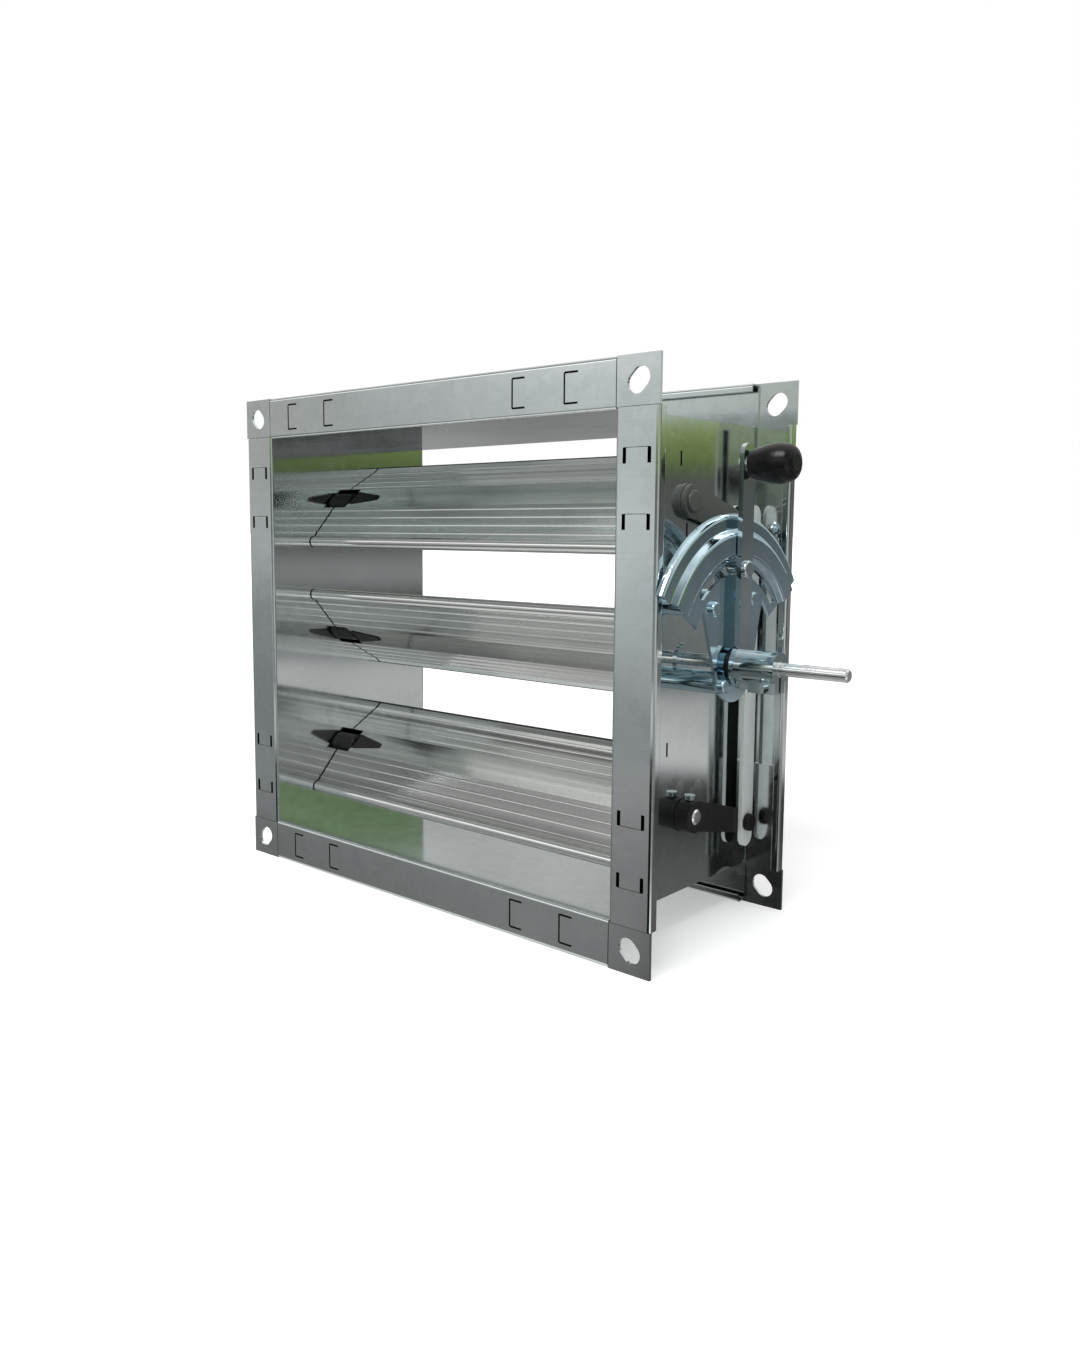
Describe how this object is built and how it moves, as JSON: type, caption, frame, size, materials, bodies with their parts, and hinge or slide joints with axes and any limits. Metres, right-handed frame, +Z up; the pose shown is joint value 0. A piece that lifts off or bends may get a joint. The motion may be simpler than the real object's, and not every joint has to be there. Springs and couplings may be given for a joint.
{
  "type": "multi-leaf air damper",
  "caption": "Rectangular duct damper with opposed blades in a flanged galvanised casing, hand quadrant and lever, linked blade shafts and an extended drive spindle.",
  "frame": {"origin": "centre of the four corner slots of the front flange, on that flange's outer face", "axes": "+Y along the airway from the front flange to the rear one, +Z up, +X towards the side with the hand lever"},
  "size_m": [0.4662, 0.1672, 0.36],
  "materials": {
    "galvanised_sheet": "bright hot-dip galvanised sheet with a faint spangle",
    "galvanised_plate": "galvanised plate, slightly duller than the sheet",
    "blade_steel": "roll-formed galvanised steel, bright along the rolls",
    "bright_steel": "bright drawn bar",
    "zinc_steel": "bright blue zinc plating",
    "black_plastic": "moulded satin black",
    "knob_plastic": "glossy black",
    "black_rubber": "matt extruded rubber"
  },
  "bodies": {
    "casing": {"bush_bottom_left": "black_plastic", "bush_bottom_right": "black_plastic", "bush_middle_left": "black_plastic", "bush_middle_right": "black_plastic", "bush_top_left": "black_plastic", "bush_top_right": "black_plastic", "casing_bottom": "galvanised_sheet", "casing_left": "galvanised_sheet", "casing_right": "galvanised_sheet", "casing_top": "galvanised_sheet", "corner_front_bottom_left": "galvanised_plate", "corner_front_bottom_right": "galvanised_plate", "corner_front_top_left": "galvanised_plate", "corner_front_top_right": "galvanised_plate", "corner_rear_bottom_left": "galvanised_plate", "corner_rear_bottom_right": "galvanised_plate", "corner_rear_top_left": "galvanised_plate", "corner_rear_top_right": "galvanised_plate", "quadrant_bush": "black_plastic", "quadrant_plate": "zinc_steel", "quadrant_posts": "zinc_steel", "quadrant_screws": "zinc_steel"},
    "blade_top": {"blade_top": "blade_steel", "blade_top_plug_left": "black_plastic", "blade_top_plug_right": "black_plastic", "blade_top_seal": "black_rubber", "crank_top": "galvanised_sheet", "crank_top_pin": "zinc_steel", "crank_top_screw": "zinc_steel", "shaft_top": "bright_steel"},
    "blade_middle": {"blade_middle": "blade_steel", "blade_middle_plug_left": "black_plastic", "blade_middle_plug_right": "black_plastic", "blade_middle_seal": "black_rubber", "drive_spindle": "bright_steel", "gear_sector_middle": "zinc_steel", "hand_lever": "zinc_steel", "lever_knob": "knob_plastic", "lever_pinch_screw": "zinc_steel", "lever_stud": "bright_steel", "lock_bolt": "zinc_steel", "lock_nut": "zinc_steel", "lock_washer": "zinc_steel", "shaft_middle": "bright_steel", "spindle_collar": "zinc_steel"},
    "blade_bottom": {"blade_bottom": "blade_steel", "blade_bottom_plug_left": "black_plastic", "blade_bottom_plug_right": "black_plastic", "blade_bottom_seal": "black_rubber", "crank_bottom": "black_plastic", "crank_bottom_pin": "black_plastic", "crank_bottom_screw": "zinc_steel", "gear_sector_bottom": "zinc_steel", "shaft_bottom": "bright_steel"},
    "tie_bar": {"tie_bar": "galvanised_plate"}
  },
  "joints": [
    {"name": "middle_blade_pivot", "type": "hinge", "parent": "casing", "child": "blade_middle", "pos_m": [0, 0.0755, 0], "axis": [1, 0, 0], "range_deg": [-50, 40]},
    {"name": "top_blade_pivot", "type": "hinge", "parent": "casing", "child": "blade_top", "pos_m": [0, 0.0755, 0.1], "axis": [1, 0, 0], "range_deg": [-40, 50]},
    {"name": "bottom_blade_pivot", "type": "hinge", "parent": "casing", "child": "blade_bottom", "pos_m": [0, 0.0755, -0.1], "axis": [1, 0, 0], "range_deg": [-40, 50]},
    {"name": "tie_bar_pivot", "type": "hinge", "parent": "blade_bottom", "child": "tie_bar", "pos_m": [0.17, 0.1485, -0.11847], "axis": [1, 0, 0], "range_deg": [-50, 40]}
  ],
  "couplings": [
    {"joint": "top_blade_pivot", "follows": "middle_blade_pivot", "ratio": -1},
    {"joint": "bottom_blade_pivot", "follows": "middle_blade_pivot", "ratio": -1},
    {"joint": "tie_bar_pivot", "follows": "middle_blade_pivot", "ratio": 1}
  ]
}
